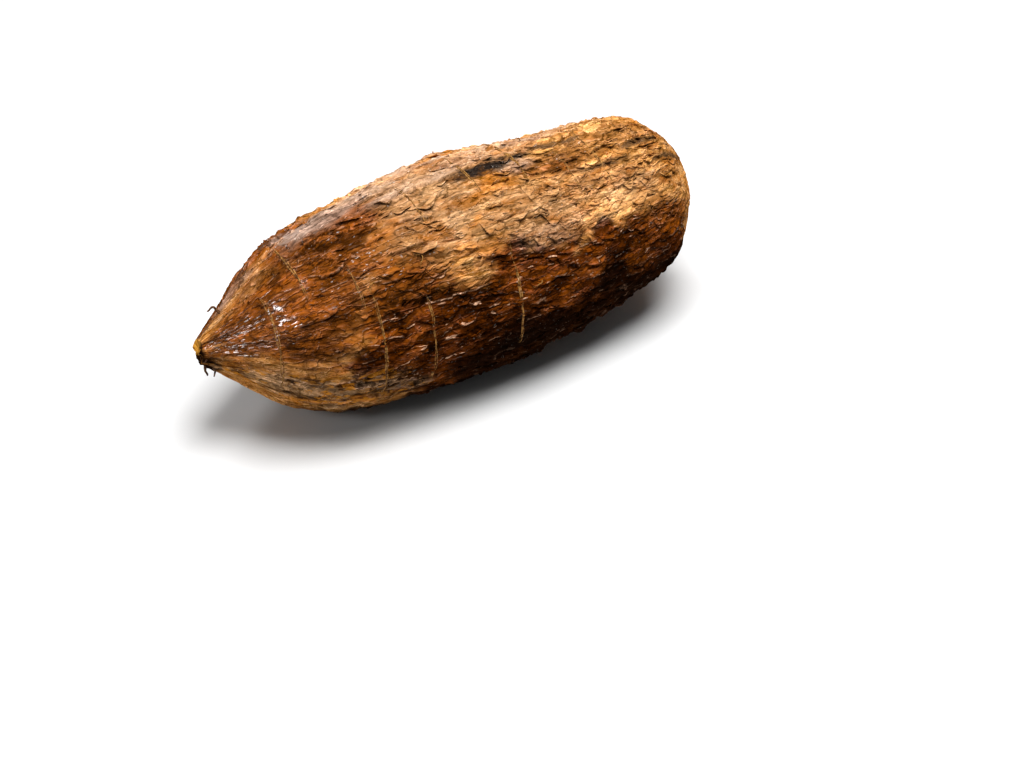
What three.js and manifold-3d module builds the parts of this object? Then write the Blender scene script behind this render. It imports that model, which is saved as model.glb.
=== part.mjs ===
import * as THREE from "three";
import { mergeVertices } from "three/addons/utils/BufferGeometryUtils.js";
import Module from "manifold-3d";

// A cassava root lying on its side, in millimetres.
// X runs from the thin tail to the blunt head, Z is up and the root rests on a small flat at Z = 0.
// Angles round the body start at +Y and turn through +Z, so a quarter turn is the top of the root.

// The outline from the snapped tail to the small snapped scar at the head, as [distance along, radius].
const OUTLINE = [
  [-114, 4.6],
  [-109.5, 8.2],
  [-100.5, 15.8],
  [-86.5, 27.7],
  [-68.5, 36.1],
  [-45.5, 40],
  [-18, 42],
  [11.5, 42.8],
  [41, 40.9],
  [68.5, 37.4],
  [91, 32.2],
  [105, 20],
  [111, 11.8],
  [114.5, 7.4],
];

// The bend of the middle line, as [distance along, sideways, height].
const MIDDLE_LINE = [
  [-114, 0.6, 42.7],
  [-86.5, -2.7, 42.5],
  [-45.5, -1.8, 42.5],
  [0, 0.2, 43],
  [45.5, 1.4, 42.7],
  [80, 3.4, 44.8],
  [114.5, 8, 46.7],
];

// Cracks run lengthwise between rows of bark plates. Each crack is a string of short openings,
// and along each opening the plate on one side is lifted.
const CRACKS = 28;
const OPENING_LENGTH = 18.5;
const PLATE_LIFT = 2.1;
const CRACK_DEPTH = 1.1;
const BARK_SINK = 0.7; // unlifted bark lies this far inside the outline
const SOUND_SHARE = 0.14; // the share of openings that stay shut
const LIFTED_ABOVE = 0.3; // the share of openings whose far plate is the lifted one
const SHARED_SWAY = 0.5; // how far cracks wander together and singly, in rows
const OWN_SWAY = 0.22;
const ROW_PLACES = [0, 0.24, 0.82]; // crack, near edge and far edge of a plate, in parts of a row

const COLUMNS = CRACKS * ROW_PLACES.length;
const STATION_GAP = 4.35;
const TAIL_STATIONS = [-112, -109.5, -106];
const HEAD_STATIONS = [105.5, 108.5, 111, 113];

// Furrows run lengthwise and lumps are the broad unevenness under the bark.
const FURROW_DEPTH = 0.8;
const LUMP_HEIGHT = 0.8;

// Thin raised threads that cross the grain, as [distance along, first turn, last turn].
const THREADS = [
  [-92.5, 0.3, 0.58],
  [-56.2, 0.38, 0.62],
  [-35.5, 0.42, 0.6],
  [2.7, 0.2, 0.56],
  [25.5, 0.12, 0.41],
  [59.5, 0.2, 0.37],
];
const THREAD_HEIGHT = 0.7;
const THREAD_HALF_WIDTH = 1.1;
const THREAD_BOW = 1.2; // a thread bows towards the head on the side that faces front
const THREAD_BOW_TURN = 0.42;

// The bare patch where the bark has peeled, with a raised edge of bark round it.
const PEEL = { along: -66, turn: 0.182, halfLength: 10.5, halfTurn: 0.036, depth: 1.4 };

// The resting flat is a slice off the belly, and the bark is worn smooth this close above it.
const FLAT_DEPTH = 0.9;
const WORN_HEIGHT = 3.2;

const FRACTURE_DEPTH = 1.1; // roughness of the two snapped ends
const END_FADE = 9; // the bark thins out over this length at each end

// Hair-thin roots that still cling to the tail.
const ROOTLETS = [
  { along: -103.2, turn: 0.2, radius: 0.65, path: [[-0.5, 1.8, 0], [-1.4, 3.2, 0.3], [-4.4, 2.6, 0.6]] },
  { along: -112.8, turn: 0.69, radius: 0.75, path: [[-0.4, 1.6, 0], [0, 3.6, 0.4]] },
  { along: -110.6, turn: 0.645, radius: 0.65, path: [[0.2, 1.2, 0], [-0.6, 2.6, 0.3]] },
];
const ROOTLET_SIDES = 5;
const ROOTLET_STEPS = 5;
const ROOTLET_SINK = 3.5;

const BARK = {
  color: 0x8c5a2c,
  roughness: 0.6,
  metalness: 0,
};

// A repeatable number from 0 to 1 for a pair of whole numbers.
function scatter(i, j) {
  const wave = Math.sin(i * 127.1 + j * 311.7) * 43758.5453;
  return wave - Math.floor(wave);
}

function ease(low, high, value) {
  return THREE.MathUtils.smoothstep(value, low, high);
}

// Smooth noise from -1 to 1 that closes on itself after the given number of cells round the body.
function wander(along, turn, cells, seed) {
  const across = turn * cells;
  const i = Math.floor(along);
  const j = Math.floor(across);
  const u = ease(0, 1, along - i);
  const v = ease(0, 1, across - j);
  const near = j % cells;
  const far = (j + 1) % cells;
  const first = THREE.MathUtils.lerp(scatter(i + seed, near), scatter(i + seed, far), v);
  const second = THREE.MathUtils.lerp(scatter(i + 1 + seed, near), scatter(i + 1 + seed, far), v);
  return 2 * THREE.MathUtils.lerp(first, second, u) - 1;
}

// The point of a curve at a distance along the body; the curve's X always grows.
function curveAt(curve, along) {
  let low = 0;
  let high = 1;
  for (let step = 0; step < 30; step += 1) {
    const middle = (low + high) / 2;
    if (curve.getPoint(middle).x < along) low = middle;
    else high = middle;
  }
  return curve.getPoint(low);
}

const outline = new THREE.SplineCurve(OUTLINE.map(([along, radius]) => new THREE.Vector2(along, radius)));
const middleLine = new THREE.CatmullRomCurve3(
  MIDDLE_LINE.map(([along, side, height]) => new THREE.Vector3(along, side, height)),
);
const TAIL = OUTLINE[0][0];
const HEAD = OUTLINE[OUTLINE.length - 1][0];
const WIDEST = Math.max(...OUTLINE.map(([, radius]) => radius));

// How far a crack is open at a place along the body, from 0 to 1, and whether its far plate is lifted.
function opening(along, crack) {
  const station = along / OPENING_LENGTH + 5 * scatter(crack, 3);
  const piece = Math.floor(station);
  const nearEnd = Math.min(station - piece, piece + 1 - station);
  const chance = scatter(crack + 61, piece);
  const width = chance < SOUND_SHARE ? 0 : 0.35 + 0.65 * chance;
  return { open: width * ease(0, 0.3, nearEnd), above: scatter(piece, crack + 29) < LIFTED_ABOVE };
}

// Height of the bark at one of the three places across a row.
function plateHeight(along, row, place) {
  if (place === 0) return -CRACK_DEPTH * opening(along, row).open;
  const { open, above } = opening(along, place === 1 ? row : (row + 1) % CRACKS);
  return (place === 1) === above ? PLATE_LIFT * open : 0;
}

// How far a crack wanders round the body at a place along it, in rows.
function swayOf(along, crack) {
  const shared = SHARED_SWAY * wander(along / 36, crack / CRACKS, 6, 11);
  return shared + OWN_SWAY * wander(along / 11, crack / CRACKS, CRACKS, 83);
}

// Height of the raised threads at a place on the body.
function threadHeight(along, turn) {
  let height = 0;
  for (const [place, first, last] of THREADS) {
    const reach = Math.abs(along - place) / THREAD_HALF_WIDTH;
    const within = ease(first - 0.02, first + 0.02, turn) - ease(last - 0.02, last + 0.02, turn);
    height += THREAD_HEIGHT * Math.max(0, 1 - reach) * within;
  }
  return height;
}

// 1 on the bare patch and 0 on whole bark.
function peeled(along, turn) {
  const ragged = 0.25 * wander(along / 9, turn, 30, 71);
  const reach = Math.hypot((along - PEEL.along) / PEEL.halfLength, (turn - PEEL.turn) / PEEL.halfTurn);
  return 1 - ease(0.85, 1.15, reach + ragged);
}

// How much the surface stands out from the plain outline, where the plates there have the given height.
function relief(along, turn, plate) {
  const bare = peeled(along, turn);
  const bark = plate + threadHeight(along, turn);
  const lumps = LUMP_HEIGHT * wander(along / 41, turn, 5, 23);
  const furrows = FURROW_DEPTH * wander(along / 52, turn, 19, 31);
  return lumps + furrows - BARK_SINK + (1 - bare) * bark - bare * PEEL.depth;
}

// Distances along the body at which it has a ring of points: an even set, and three for each thread.
function stations() {
  const fixed = [...TAIL_STATIONS, ...HEAD_STATIONS];
  for (const [place] of THREADS) fixed.push(place - THREAD_HALF_WIDTH, place, place + THREAD_HALF_WIDTH);
  const even = [];
  for (let along = TAIL + STATION_GAP; along < HEAD - STATION_GAP; along += STATION_GAP) {
    const free = fixed.every((place) => Math.abs(place - along) > STATION_GAP / 2);
    if (free) even.push(along);
  }
  return [TAIL, ...fixed, ...even, HEAD].sort((first, second) => first - second);
}

// Moves a point of the straight body out to the bark and over to the bent middle line.
function placed(along, side, height) {
  const evenTurn = (Math.atan2(height, side) / (2 * Math.PI) + 1) % 1;
  const column = Math.round(evenTurn * COLUMNS) % COLUMNS;
  const row = Math.floor(column / ROW_PLACES.length);
  const place = column % ROW_PLACES.length;
  const sway = swayOf(along, place === 2 ? (row + 1) % CRACKS : row);
  const turn = ((row + ROW_PLACES[place] + sway) / CRACKS + 1) % 1;
  const angle = 2 * Math.PI * turn;

  const middle = curveAt(middleLine, along);
  const full = curveAt(outline, along).y;
  const plain = Math.hypot(side, height);
  const clearance = middle.z - FLAT_DEPTH + full * Math.sin(angle);
  const fromEnds = ease(0, END_FADE, along - TAIL) * ease(0, END_FADE, HEAD - along);
  const shelter = fromEnds * ease(0, WORN_HEIGHT, clearance);
  const depth = shelter * Math.sqrt(full / WIDEST) * relief(along, turn, plateHeight(along, row, place));
  const radius = plain * (1 + depth / full);

  const snapped = along === TAIL || along === HEAD;
  const fracture = snapped ? FRACTURE_DEPTH * wander(plain / 2.4, turn, 7, 5) : 0;
  const bow = shelter * THREAD_BOW * Math.cos(angle - 2 * Math.PI * THREAD_BOW_TURN);
  return new THREE.Vector3(
    along + fracture + bow,
    middle.y + radius * Math.cos(angle),
    middle.z + radius * Math.sin(angle) - FLAT_DEPTH,
  );
}

// Welds the points of a geometry and drops the faces that have closed up at its poles.
function welded(geometry) {
  geometry.deleteAttribute("normal");
  geometry.deleteAttribute("uv");
  const joined = mergeVertices(geometry, 1e-4);
  const kept = [];
  const index = joined.index.array;
  for (let i = 0; i < index.length; i += 3) {
    const [a, b, c] = index.slice(i, i + 3);
    if (a !== b && b !== c && c !== a) kept.push(a, b, c);
  }
  joined.setIndex(kept);
  return joined;
}

function bodyGeometry() {
  const sides = stations().map((along) => new THREE.Vector2(curveAt(outline, along).y, along));
  const profile = [
    new THREE.Vector2(0, TAIL),
    new THREE.Vector2(OUTLINE[0][1] / 2, TAIL),
    ...sides,
    new THREE.Vector2(OUTLINE[OUTLINE.length - 1][1] / 2, HEAD),
    new THREE.Vector2(0, HEAD),
  ];
  const turned = new THREE.LatheGeometry(profile, COLUMNS);
  turned.rotateZ(-Math.PI / 2);
  const body = welded(turned);
  const points = body.attributes.position;
  for (let i = 0; i < points.count; i += 1) {
    const moved = placed(points.getX(i), points.getY(i), points.getZ(i));
    points.setXYZ(i, moved.x, moved.y, moved.z);
  }
  return body;
}

// A thin root that starts under the bark; its path is in steps [along, outwards, round] from the surface.
function rootletGeometry({ along, turn, radius, path }) {
  const angle = 2 * Math.PI * turn;
  const outwards = new THREE.Vector3(0, Math.cos(angle), Math.sin(angle));
  const round = new THREE.Vector3(0, -Math.sin(angle), Math.cos(angle));
  const middle = curveAt(middleLine, along);
  const foot = new THREE.Vector3(along, middle.y, middle.z - FLAT_DEPTH);
  foot.addScaledVector(outwards, curveAt(outline, along).y);
  const points = [foot.clone().addScaledVector(outwards, -ROOTLET_SINK)];
  for (const [ahead, away, sideways] of path) {
    const point = foot.clone().addScaledVector(outwards, away).addScaledVector(round, sideways);
    point.x += ahead;
    points.push(point);
  }
  const section = new THREE.Shape();
  for (let side = 0; side < ROOTLET_SIDES; side += 1) {
    const sideAngle = (2 * Math.PI * side) / ROOTLET_SIDES;
    const corner = [radius * Math.cos(sideAngle), radius * Math.sin(sideAngle)];
    if (side === 0) section.moveTo(...corner);
    else section.lineTo(...corner);
  }
  section.closePath();
  return new THREE.ExtrudeGeometry(section, {
    steps: ROOTLET_STEPS,
    extrudePath: new THREE.CatmullRomCurve3(points),
    bevelEnabled: false,
  });
}

const wasm = await Module();
wasm.setup();

function solid(geometry) {
  const { attributes, index } = geometry;
  return new wasm.Manifold(
    new wasm.Mesh({
      numProp: 3,
      vertProperties: new Float32Array(attributes.position.array),
      triVerts: new Uint32Array(index.array),
    }),
  );
}

// Everything under the resting plane.
function groundSolid() {
  const size = 400;
  const block = new THREE.BoxGeometry(size, size, size);
  block.translate(0, 0, -size / 2);
  return solid(welded(block));
}

function rootMesh() {
  let root = solid(bodyGeometry());
  for (const rootlet of ROOTLETS) root = root.add(solid(welded(rootletGeometry(rootlet))));
  root = root.subtract(groundSolid());
  const { vertProperties, triVerts } = root.getMesh();
  const geometry = new THREE.BufferGeometry();
  geometry.setAttribute("position", new THREE.BufferAttribute(vertProperties, 3));
  geometry.setIndex(new THREE.BufferAttribute(triVerts, 1));
  geometry.computeVertexNormals();
  geometry.computeBoundingBox();
  const centre = geometry.boundingBox.getCenter(new THREE.Vector3());
  geometry.translate(-centre.x, -centre.y, 0);
  const mesh = new THREE.Mesh(geometry, new THREE.MeshStandardMaterial(BARK));
  mesh.name = "cassava_root";
  return mesh;
}

const cassava = new THREE.Group();
cassava.name = "cassava";
cassava.add(rootMesh());

export default cassava;
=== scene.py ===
import math
import bpy
import bmesh
import numpy as np
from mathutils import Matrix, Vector


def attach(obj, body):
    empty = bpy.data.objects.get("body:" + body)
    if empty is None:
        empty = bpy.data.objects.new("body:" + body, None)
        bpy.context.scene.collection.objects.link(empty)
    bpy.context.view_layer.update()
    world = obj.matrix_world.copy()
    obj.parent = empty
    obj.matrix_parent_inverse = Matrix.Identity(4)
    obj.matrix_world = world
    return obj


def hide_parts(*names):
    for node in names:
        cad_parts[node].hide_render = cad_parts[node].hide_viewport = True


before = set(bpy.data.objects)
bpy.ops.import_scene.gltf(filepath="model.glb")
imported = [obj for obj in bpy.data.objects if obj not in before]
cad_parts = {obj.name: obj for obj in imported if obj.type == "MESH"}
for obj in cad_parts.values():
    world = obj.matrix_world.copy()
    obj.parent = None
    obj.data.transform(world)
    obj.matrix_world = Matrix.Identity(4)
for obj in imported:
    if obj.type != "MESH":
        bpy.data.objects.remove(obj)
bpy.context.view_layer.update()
mm = 0.001
turnFull = 2 * math.pi
print("frame loaded")

# The root's own form, in millimetres: X from the tail to the head, turns from +Y through +Z.
rootForm = {
    "outline": [(-114, 4.6), (-109.5, 8.2), (-100.5, 15.8), (-86.5, 27.7), (-68.5, 36.1), (-45.5, 40),
                (-18, 42), (11.5, 42.8), (41, 40.9), (68.5, 37.4), (91, 32.2), (105, 20), (111, 11.8),
                (114.5, 7.4)],
    "middleLine": [(-114, 0.6, 42.7), (-86.5, -2.7, 42.5), (-45.5, -1.8, 42.5), (0, 0.2, 43),
                   (45.5, 1.4, 42.7), (80, 3.4, 44.8), (114.5, 8, 46.7)],
    "centre": (0.252, -0.161),
    "flatDepth": 0.9,
    "wornHeight": 3.2,
    "widest": 42.8,
    "endFade": 9,
    "bow": 1.2,
    "bowTurn": 0.42,
}


def smoothCurve(points, perSpan=60):
    # Catmull-Rom through the points, as even samples of each span
    known = np.array(points, float)
    padded = np.vstack([known[:1], known, known[-1:]])
    samples = []
    for i in range(len(known) - 1):
        before, start, end, after = padded[i:i + 4]
        w = np.linspace(0, 1, perSpan, endpoint=False)[:, None]
        leave, arrive = (end - before) / 2, (after - start) / 2
        samples.append((2 * start - 2 * end + leave + arrive) * w ** 3
                       + (3 * end - 3 * start - 2 * leave - arrive) * w ** 2 + leave * w + start)
    return np.vstack(samples + [known[-1:]])


outlineCurve = smoothCurve(rootForm["outline"])
middleCurve = smoothCurve(rootForm["middleLine"])
tailEnd, headEnd = rootForm["outline"][0][0], rootForm["outline"][-1][0]


def radiusAt(along):
    return np.interp(along, outlineCurve[:, 0], outlineCurve[:, 1])


slimness = (rootForm["widest"] / np.maximum(outlineCurve[:, 1], 6)) ** 0.6
stationCurve = np.concatenate([[0], np.cumsum(np.diff(outlineCurve[:, 0]) * slimness[1:])])


def stationAt(along):
    # distance along the root, drawn out where it is slim so that patterns keep their proportions
    return np.interp(along, outlineCurve[:, 0], stationCurve)


def middleAt(along):
    side = np.interp(along, middleCurve[:, 0], middleCurve[:, 1])
    height = np.interp(along, middleCurve[:, 0], middleCurve[:, 2])
    return side, height


def scatter(i, j):
    wave = np.sin(i * 127.1 + j * 311.7) * 43758.5453
    return wave - np.floor(wave)


def ease(low, high, value):
    t = np.clip((value - low) / (high - low), 0, 1)
    return t * t * (3 - 2 * t)


def wander(along, turn, cells, seed):
    # smooth noise from -1 to 1 that closes on itself round the root
    across = turn * cells
    i, j = np.floor(along), np.floor(across)
    u, v = ease(0, 1, along - i), ease(0, 1, across - j)
    near, far = j % cells, (j + 1) % cells
    first = scatter(i + seed, near) * (1 - v) + scatter(i + seed, far) * v
    second = scatter(i + 1 + seed, near) * (1 - v) + scatter(i + 1 + seed, far) * v
    return 2 * (first * (1 - u) + second * u) - 1


def roughness(along, turn, length, cells, seed, octaves=4):
    # several sizes of the same noise, from -1 to 1
    total, weight = 0, 1
    for octave in range(octaves):
        scale = 2 ** octave
        total = total + weight * wander(along * scale / length, turn, cells * scale, seed + 13 * octave)
        weight *= 0.55
    return total / 1.7


def turnGap(turn, place):
    return (turn - place + 0.5) % 1 - 0.5


def spot(along, turn, place):
    # a soft oval mark: (along, turn, half length, half turn)
    return np.exp(-((along - place[0]) / place[2]) ** 2 - (turnGap(turn, place[1]) / place[3]) ** 2)


# The cracks that run along it, as in the solid, with finer bark between them.
crackForm = {
    "count": 28,
    "openingLength": 18.5,
    "lift": 1.3,
    "depth": 0.9,
    "sink": 0.7,
    "soundShare": 0.14,
    "liftedAbove": 0.3,
    "sharedSway": 0.5,
    "ownSway": 0.22,
    "shares": [0, 0.03, 0.07, 0.13, 0.21, 0.31, 0.42, 0.53, 0.64, 0.74, 0.82, 0.89, 0.94, 0.975],
}


def opening(along, crack):
    station = along / crackForm["openingLength"] + 5 * scatter(crack, 3)
    piece = np.floor(station)
    nearEnd = np.minimum(station - piece, piece + 1 - station)
    chance = scatter(crack + 61, piece)
    width = np.where(chance < crackForm["soundShare"], 0, 0.35 + 0.65 * chance)
    return width * ease(0, 0.3, nearEnd), scatter(piece, crack + 29) < crackForm["liftedAbove"]


def swayOf(along, crack):
    count = crackForm["count"]
    shared = crackForm["sharedSway"] * wander(along / 36, crack / count, 6, 11)
    return shared + crackForm["ownSway"] * wander(along / 11, crack / count, count, 83)


# The bare patch where the bark has peeled
peelForm = {"along": -66, "turn": 0.182, "halfLength": 10.5, "halfTurn": 0.036, "depth": 1.4}


def peeled(along, turn):
    reach = np.hypot((along - peelForm["along"]) / peelForm["halfLength"],
                     turnGap(turn, peelForm["turn"]) / peelForm["halfTurn"])
    ragged = 0.25 * wander(along / 9, turn, 30, 71) + 0.12 * wander(along / 2.2, turn, 120, 72)
    return 1 - ease(0.88, 1.1, reach + ragged)


# The threads that cross the grain, as (along, first turn, last turn)
threadForm = {
    "places": [(-92.5, 0.3, 0.58), (-78.5, 0.2, 0.36), (-61, 0.33, 0.41), (-56.2, 0.38, 0.62),
               (-35.5, 0.42, 0.6), (-24, 0.22, 0.33), (2.7, 0.2, 0.305), (3.6, 0.39, 0.56), (25.5, 0.12, 0.33),
               (44.5, 0.26, 0.38), (59.5, 0.2, 0.37), (-30, 0.72, 0.98), (38, 0.8, 1.04), (-70, 0.9, 1.08)],
    "radius": 0.38,
    "apart": 0.42,
    "sides": 6,
    "step": 0.9,
    "sway": 0.55,
    "twist": 38,
    "ridgeHeight": 0.5,
    "ridgeHalf": 1.0,
}


def threadRidge(along, turn):
    # the low welt under each thread
    ridge = np.zeros(np.shape(along))
    for number, (place, first, last) in enumerate(threadForm["places"]):
        middle, half = (first + last) / 2, (last - first) / 2
        within = 1 - ease(0.85, 1.0, np.abs(turnGap(turn, middle)) / half)
        off = along - place - threadForm["sway"] * wander(turn * 9 + number, turn * 0, 5, 90)
        ridge = np.maximum(ridge, within * np.exp(-(off / threadForm["ridgeHalf"]) ** 2))
    return ridge


def broadRelief(along, turn):
    lumps = 0.8 * wander(along / 41, turn, 5, 23) + 0.8 * wander(along / 52, turn, 19, 31)
    return lumps - crackForm["sink"]


def shelterAt(along, turn):
    # 0 at the snapped ends and where the belly is worn flat
    _, height = middleAt(along)
    clearance = height - rootForm["flatDepth"] + radiusAt(along) * np.sin(turnFull * turn)
    ends = ease(0, rootForm["endFade"], along - tailEnd) * ease(0, rootForm["endFade"], headEnd - along)
    return ends * ease(0, rootForm["wornHeight"], clearance)


def skinPoint(along, turn, height, reach=1.0):
    # a place on the root in metres, height millimetres out from the plain outline
    side, level = middleAt(along)
    radius = radiusAt(along) * reach + height
    angle = turnFull * turn
    bow = shelterAt(along, turn) * rootForm["bow"] * np.cos(angle - turnFull * rootForm["bowTurn"])
    x = along + bow - rootForm["centre"][0]
    y = side + radius * np.cos(angle) - rootForm["centre"][1]
    z = level + radius * np.sin(angle) - rootForm["flatDepth"]
    return np.stack([x, y, np.maximum(z, 0)], axis=-1) * mm


def grainOf(along, turn, share=1.0):
    # place on a straightened, fuller root, so that patterns run with the grain and close round it;
    # over the head they lie as they are, so that nothing draws together at its middle
    angle = turnFull * turn
    station, radius = stationAt(along), radiusAt(along)
    head = ease(72, 100, along)
    full = 0.35 * rootForm["widest"] + 0.65 * radius
    reach = full * (1 - head) + radius * share * head
    level = station * (1 - head) + (stationAt(86) + 0.6 * (along - 86)) * head
    return np.stack([level, reach * np.cos(angle), reach * np.sin(angle)], axis=-1) * mm


# Where the bark changes colour, and where shade, light and sheen are painted on it, as ovals on the root:
# along, turn, half length, half turn, strength
zoneForm = {
    "amber": [(-84, 0.36, 44, 0.17, 1), (-62, 0.25, 30, 0.1, 1), (-50, 0.42, 28, 0.08, 1),
              (-90, 0.1, 42, 0.13, 1), (74, 0.265, 24, 0.03, 0.5), (74, 0.465, 28, 0.05, 1),
              (-60, 0.9, 45, 0.14, 1), (75, 0.8, 40, 0.12, 1), (40, 0.29, 22, 0.025, 0.7)],
    "pale": [(-18, 0.3, 26, 0.08, 0.8), (16, 0.365, 38, 0.055, 0.7), (40, 0.35, 24, 0.04, 0.6),
             (-34, 0.23, 30, 0.05, 0.7), (62, 0.37, 24, 0.045, 0.6), (-10, 0.04, 50, 0.1, 0.8),
             (10, 0.93, 30, 0.06, 0.7)],
    # The next zone carries a painted sheen: pale lilac-grey patches along the top and back
    "lilac": [(-50, 0.17, 44, 0.065, 1), (20, 0.155, 70, 0.065, 1), (-8, 0.23, 42, 0.03, 0.8),
              (24, 0.27, 12, 0.02, 0.8), (-66, 0.21, 20, 0.04, 1), (-97, 0.2, 14, 0.06, 0.8),
              (30, 0.4, 22, 0.02, 0.5)],
    # The next zone is darker bark with painted shade on the lower front side
    "darkbarkandshade": [(14, 0.55, 74, 0.145, 1), (52, 0.58, 44, 0.13, 1), (-36, 0.5, 40, 0.08, 1)],
    # The next zone is painted light: dry bark made brighter where it faces sideways and gets less light
    "paintedlight": [(48, 0.39, 30, 0.06, 1), (46, 0.31, 20, 0.04, 0.6), (8, 0.4, 34, 0.03, 0.15)],
    "gloss": [(-90, 0.37, 18, 0.075, 1), (-103, 0.38, 12, 0.11, 1), (-70, 0.49, 9, 0.025, 1),
              (66, 0.4, 12, 0.03, 0.2)],
    # The next zone is painted shade: colour near black along the lower front, where the root lies in shade, and
    # round the snapped tail end
    "paintedshade": [(27, 0.6, 78, 0.112, 1), (-26, 0.66, 62, 0.065, 1), (-113, 0.62, 5, 0.16, 1)],
    "soil": [(-80, 0.57, 36, 0.06, 1), (-54, 0.58, 24, 0.03, 0.8), (0, 0.76, 92, 0.07, 0.8)],
    "soot": [(7, 0.266, 17, 0.017, 1), (22, 0.255, 16, 0.012, 1), (62, 0.322, 15, 0.009, 0.8),
             (95, 0.345, 14, 0.013, 0.8), (48, 0.245, 15, 0.008, 0.8), (82, 0.3, 12, 0.009, 0.8),
             (-25, 0.06, 12, 0.015, 1), (40, 0.93, 16, 0.015, 1)],
}

# How sharply a zone ends, where that isn't soft
zoneEdges = {"darkbarkandshade": (0.86, 1.08), "soot": (0.5, 1.1), "paintedshade": (0.6, 1.15), "paintedlight": (0.3, 1.2)}


def zonesAt(along, turn):
    ragged = 0.35 * roughness(along, turn, 16, 26, 201)
    zones = {}
    for name, places in zoneForm.items():
        zones[name] = np.zeros(np.shape(along))
        for place in places:
            reach = np.hypot((along - place[0]) / place[2], turnGap(turn, place[1]) / place[3])
            inner, outer = zoneEdges.get(name, (0.55, 1.25))
            zones[name] = np.maximum(zones[name], place[4] * (1 - ease(inner, outer, reach + ragged)))
    return zones


def cells(along, turn, length, rows, seed):
    # scales of bark: a number for each, how far across it a place lies, and how near its edge
    p = stationAt(along) / length + 0.5 * wander(along / 17, turn, 13, seed)
    q = turn * rows + 0.9 * wander(along / 15, turn, rows // 4, seed + 1)
    q = q + 0.35 * wander(along / 4, turn, rows, seed + 2)
    i, j = np.floor(p), np.floor(q)
    nearest, second = np.full(p.shape, 9.0), np.full(p.shape, 9.0)
    number, across = np.zeros(p.shape), np.zeros(p.shape)
    for di in (-1, 0, 1):
        for dj in (-1, 0, 1):
            ring = (j + dj) % rows
            centreP = i + di + 0.5 + 0.9 * (scatter(i + di + seed, ring + 0.5) - 0.5)
            centreQ = j + dj + 0.5 + 0.8 * (scatter(ring + seed, i + di + 3.7) - 0.5)
            gap = np.hypot(p - centreP, q - centreQ)
            closer = gap < nearest
            second = np.where(closer, nearest, np.minimum(second, gap))
            number = np.where(closer, scatter(i + di + 2 * seed, ring + 1.3), number)
            across = np.where(closer, q - centreQ, across)
            nearest = np.where(closer, gap, nearest)
    return number, across, second - nearest


def scaleRelief(along, turn, length, rows, seed):
    # each scale rises towards its lower edge and drops away there
    number, across, edge = cells(along, turn, length, rows, seed)
    fall = np.clip(0.8 - 3 * np.cos(turnFull * turn), -1, 1)
    down = fall * across
    steep = ease(0, 0.14, edge)
    gentle = ease(0, 0.55, edge)
    height = (0.35 + 0.65 * number) * (steep * ease(-0.45, 0.45, down) + 0.35 * gentle)
    gap = (1 - ease(0.02, 0.16, edge)) * (0.3 + 0.7 * number)
    rim = ease(0.04, 0.12, edge) * (1 - ease(0.16, 0.4, edge)) * ease(0, 0.25, down)
    return number, height, gap, rim


def readPoints(mesh):
    points = np.empty(len(mesh.vertices) * 3)
    mesh.vertices.foreach_get("co", points)
    return points.reshape(-1, 3)


def writePoints(mesh, points):
    mesh.vertices.foreach_set("co", points.astype(np.float32).ravel())
    mesh.update()


def storeMasks(mesh, masks):
    for name, values in masks.items():
        wide = np.ndim(values) == 2
        layer = mesh.attributes.new(name, "FLOAT_VECTOR" if wide else "FLOAT", "POINT")
        layer.data.foreach_set("vector" if wide else "value", np.asarray(values, np.float32).ravel())


def addPiece(name, bm, material):
    mesh = bpy.data.meshes.new(name)
    bm.to_mesh(mesh)
    bm.free()
    mesh.materials.append(material)
    piece = bpy.data.objects.new(name, mesh)
    bpy.context.scene.collection.objects.link(piece)
    return piece


def paint(code):
    # a colour written as six hex digits, as linear numbers
    channels = [int(code[i:i + 2], 16) / 255 for i in (0, 2, 4)]
    return tuple(c / 12.92 if c <= 0.04045 else ((c + 0.055) / 1.055) ** 2.4 for c in channels) + (1,)


def addNode(tree, kind, inputs=None, **settings):
    node = tree.nodes.new(kind)
    for name, value in settings.items():
        setattr(node, name, value)
    for socket, value in (inputs or {}).items():
        if isinstance(value, bpy.types.NodeSocket):
            tree.links.new(value, node.inputs[socket])
        else:
            node.inputs[socket].default_value = value
    return node


def maths(tree, operation, first, second=0.5, clamp=False):
    node = addNode(tree, "ShaderNodeMath", {0: first, 1: second}, operation=operation, use_clamp=clamp)
    return node.outputs[0]


def times(tree, first, second, clamp=False):
    return maths(tree, "MULTIPLY", first, second, clamp)


def vectorMaths(tree, operation, first, second):
    socket = "Scale" if operation == "SCALE" else 1
    node = addNode(tree, "ShaderNodeVectorMath", {0: first, socket: second}, operation=operation)
    return node.outputs["Value" if operation == "DOT_PRODUCT" else "Vector"]


def tinted(tree, colour, saturation=1.0, value=1.0):
    node = addNode(tree, "ShaderNodeHueSaturation", {"Saturation": saturation, "Value": value, "Color": colour})
    return node.outputs[0]


def span(tree, value, low, high, newLow=0, newHigh=1, smooth=True):
    kind = "SMOOTHSTEP" if smooth else "LINEAR"
    node = addNode(tree, "ShaderNodeMapRange", {"Value": value, "From Min": low, "From Max": high,
                                                "To Min": newLow, "To Max": newHigh}, interpolation_type=kind)
    return node.outputs["Result"]


def blendColour(tree, factor, first, second, mode="MIX"):
    node = addNode(tree, "ShaderNodeMix", {0: factor, 6: first, 7: second},
                   data_type="RGBA", blend_type=mode, clamp_factor=True)
    return node.outputs[2]


def newGroup(name, inputs, outputs):
    group = bpy.data.node_groups.new(name, "ShaderNodeTree")
    for socket, (kind, value) in inputs.items():
        made = group.interface.new_socket(socket, in_out="INPUT", socket_type="NodeSocket" + kind)
        if value is not None:
            made.default_value = value
    for socket, kind in outputs.items():
        group.interface.new_socket(socket, in_out="OUTPUT", socket_type="NodeSocket" + kind)
    return group, group.nodes.new("NodeGroupInput").outputs, group.nodes.new("NodeGroupOutput").inputs


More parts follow.
